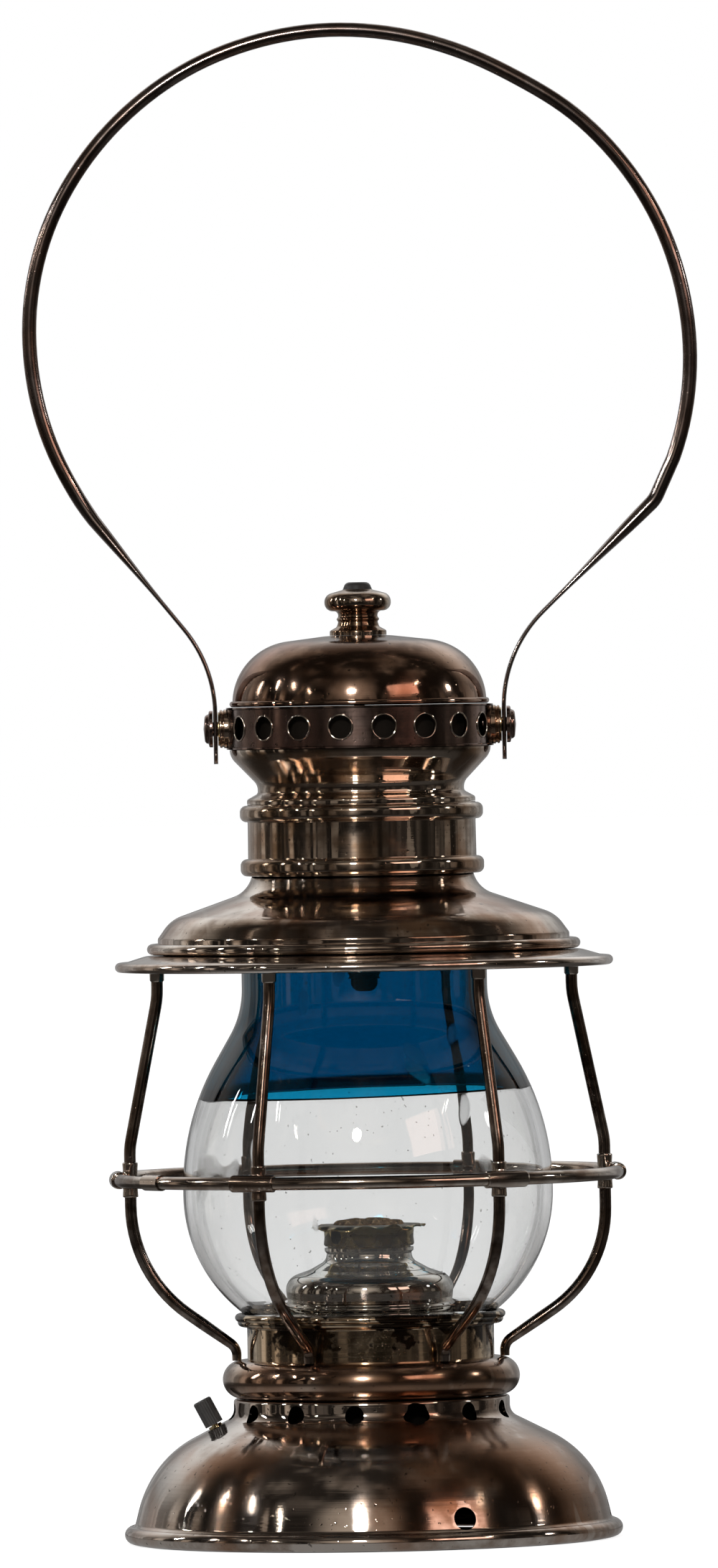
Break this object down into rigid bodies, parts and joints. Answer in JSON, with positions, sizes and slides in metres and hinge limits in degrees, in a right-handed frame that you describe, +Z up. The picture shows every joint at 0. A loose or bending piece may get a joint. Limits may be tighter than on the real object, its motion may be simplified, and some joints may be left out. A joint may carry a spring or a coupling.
{
  "type": "railroad hand lantern",
  "caption": "Railroad conductor's hand lantern with a two-colour glass globe, wire guard, hinged ventilated hood, drop-in fount and a tall swinging bail.",
  "frame": {"origin": "centre of the rolled foot, on the surface that the lantern stands on", "axes": "+Z up through the chimney, -Y the front with the pierced band's middle holes, +X to the right between the two ears"},
  "size_m": [0.1879, 0.143, 0.4226],
  "materials": {
    "tarnished_plate": "tarnished silver plate, brown in the hollows",
    "dark_copper": "dark copper-brown patina",
    "worn_silver": "worn silver plate",
    "old_brass": "dull old brass",
    "clear_glass": "clear, lightly streaked",
    "blue_glass": "transparent teal blue",
    "charred_wick": "charred and dusty",
    "switch_case": "moulded",
    "black_knob": "fluted, glossy"
  },
  "bodies": {
    "frame": {"base_shell": "tarnished_plate", "frame_collar": "dark_copper", "globe_holder": "dark_copper", "globe_seat_plate": "old_brass", "globe_clear": "clear_glass", "globe_blue": "blue_glass", "guard_ring": "tarnished_plate", "ring_joint_sleeve": "tarnished_plate", "guard_wire_1": "tarnished_plate", "guard_wire_2": "tarnished_plate", "guard_wire_3": "tarnished_plate", "guard_wire_4": "tarnished_plate", "guard_wire_5": "tarnished_plate", "guard_wire_6": "tarnished_plate", "guard_fitting_1": "worn_silver", "guard_fitting_2": "worn_silver", "guard_fitting_3": "worn_silver", "guard_fitting_4": "worn_silver", "guard_fitting_5": "worn_silver", "guard_fitting_6": "worn_silver", "wire_ferrules": "worn_silver", "brim_ring": "worn_silver", "hinge_brim_leaf": "worn_silver", "hinge_pin": "old_brass", "switch_body": "switch_case", "switch_bush": "old_brass", "switch_nut": "old_brass"},
    "hood": {"hood_shell": "tarnished_plate", "hinge_hood_leaf": "worn_silver", "globe_retainer": "dark_copper", "chimney_collar": "tarnished_plate", "chimney_bowl": "tarnished_plate", "vent_band": "dark_copper", "draught_tube": "dark_copper", "dome_cap": "dark_copper", "finial": "tarnished_plate", "finial_rod": "old_brass", "rod_lock_nut": "old_brass", "smoke_bell": "dark_copper", "rod_end_knob": "dark_copper", "ear_bosses": "tarnished_plate", "ear_washers": "old_brass", "ear_rivets": "dark_copper"},
    "bail": {"bail": "dark_copper"},
    "fount": {"fount_body": "worn_silver", "burner_collar": "old_brass", "burner_flange": "old_brass", "wick_stub": "charred_wick"},
    "switch": {"switch_spindle": "old_brass", "switch_knob": "black_knob"}
  },
  "joints": [
    {"name": "hood_hinge", "type": "hinge", "parent": "frame", "child": "hood", "pos_m": [0, 0.0634, 0.1659], "axis": [-1, 0, 0], "range_deg": [0, 105]},
    {"name": "bail_swing", "type": "hinge", "parent": "hood", "child": "bail", "pos_m": [0, 0, 0.2265], "axis": [1, 0, 0], "range_deg": [-160, 160]},
    {"name": "fount_twist", "type": "hinge", "parent": "frame", "child": "fount", "pos_m": [0, 0, 0.0467], "axis": [0, 0, 1], "range_deg": [0, 24]},
    {"name": "switch_turn", "type": "hinge", "parent": "frame", "child": "switch", "pos_m": [-0.0437, 0, 0.0323], "axis": [-0.4606, 0, 0.8876], "continuous": true}
  ]
}
